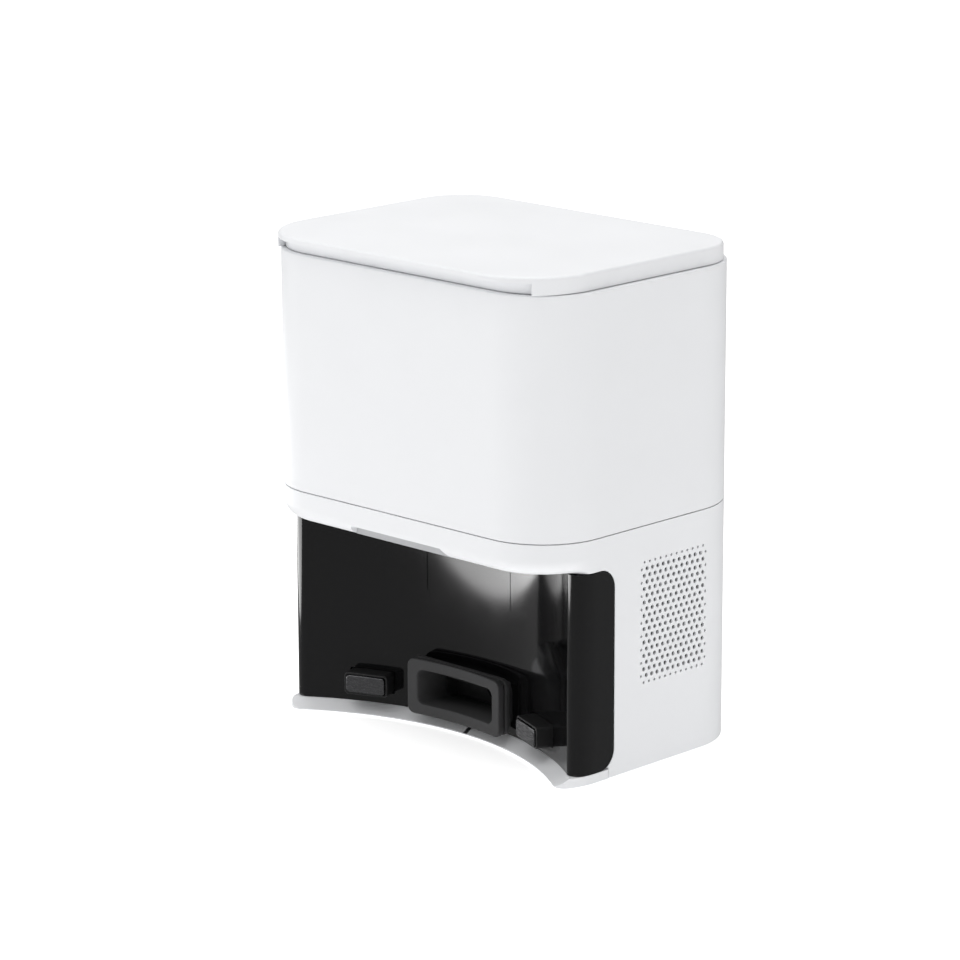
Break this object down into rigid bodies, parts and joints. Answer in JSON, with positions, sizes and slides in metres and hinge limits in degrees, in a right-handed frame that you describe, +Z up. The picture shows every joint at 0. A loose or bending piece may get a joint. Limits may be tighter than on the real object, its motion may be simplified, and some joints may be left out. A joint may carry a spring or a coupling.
{
  "type": "robot vacuum auto-empty dock",
  "caption": "Upright self-emptying charging dock for a robot vacuum: rounded white casing, hinged lid over a dust bag, and a curved black docking bay with suction port and contacts.",
  "frame": {"origin": "middle of the bounding box footprint, on the ground under the rubber feet", "axes": "+Z up, -Y out of the docking bay (the front), +X to the right-hand side seen from the front"},
  "size_m": [0.225, 0.1774, 0.2821],
  "materials": {
    "white_abs": "satin moulded ABS",
    "black_gloss_abs": "polished moulded ABS",
    "black_matt_abs": "fine texture",
    "grey_abs": "satin",
    "dark_rubber": "moulded rubber",
    "steel": "plated",
    "bag_fleece": "non-woven",
    "bag_card": "pressed card",
    "filter_foam": "open-cell foam",
    "circuit_board": "solder mask",
    "light_lens": "frosted"
  },
  "bodies": {
    "dock": {"lower_housing": "white_abs", "upper_housing": "white_abs", "base_pan": "white_abs", "bay_liner": "black_gloss_abs", "ir_window": "black_gloss_abs", "bay_ceiling": "black_matt_abs", "duct_mouth": "black_matt_abs", "duct_elbow": "black_matt_abs", "duct_riser": "black_matt_abs", "bag_holder": "black_matt_abs", "fan_shroud": "black_matt_abs", "fan_cover": "black_matt_abs", "exhaust_frame": "black_matt_abs", "contact_holder_left": "black_matt_abs", "contact_holder_right": "black_matt_abs", "power_inlet": "black_matt_abs", "bag_chamber": "grey_abs", "filter_frame": "grey_abs", "mid_deck": "grey_abs", "duct_seal": "dark_rubber", "tub_gasket": "dark_rubber", "fan_gasket": "dark_rubber", "fan_mount": "dark_rubber", "motor_cradle": "dark_rubber", "foot_front_left": "dark_rubber", "foot_front_right": "dark_rubber", "foot_back_left": "dark_rubber", "foot_back_right": "dark_rubber", "hinge_bracket_left": "steel", "hinge_bracket_right": "steel", "motor_can": "steel", "contact_spring_left": "steel", "contact_spring_right": "steel", "screw_front_left": "steel", "screw_front_right": "steel", "screw_back_left": "steel", "screw_back_right": "steel", "dust_bag": "bag_fleece", "bag_collar": "bag_card", "inlet_filter": "filter_foam", "exhaust_filter": "filter_foam", "status_board": "circuit_board", "beacon_board": "circuit_board", "power_board": "circuit_board", "control_board": "circuit_board", "lid_sensor": "circuit_board", "status_lens": "light_lens"},
    "lid": {"lid": "white_abs", "lid_seal": "dark_rubber", "lid_magnet": "steel", "hinge_pin_left": "steel", "hinge_pin_right": "steel"},
    "port": {"port_collar": "dark_rubber"},
    "contact_left": {"contact_plate_left": "steel"},
    "contact_right": {"contact_plate_right": "steel"},
    "rotor": {"motor_shaft": "steel", "impeller": "grey_abs"}
  },
  "joints": [
    {"name": "lid_hinge", "type": "hinge", "parent": "dock", "child": "lid", "pos_m": [0, 0.0776, 0.2764], "axis": [-1, 0, 0], "range_deg": [0, 95]},
    {"name": "port_slide", "type": "slide", "parent": "dock", "child": "port", "axis": [0, 1, 0], "range_m": [0, 0.003], "stiffness_N_per_m": 900},
    {"name": "contact_left_press", "type": "slide", "parent": "dock", "child": "contact_left", "axis": [-0.3697, 0.9291, 0], "range_m": [0, 0.002], "stiffness_N_per_m": 600},
    {"name": "contact_right_press", "type": "slide", "parent": "dock", "child": "contact_right", "axis": [0.3697, 0.9291, 0], "range_m": [0, 0.002], "stiffness_N_per_m": 600},
    {"name": "impeller_spin", "type": "hinge", "parent": "dock", "child": "rotor", "pos_m": [0.058, 0.014, 0.1], "axis": [0, 0, 1], "continuous": true}
  ]
}
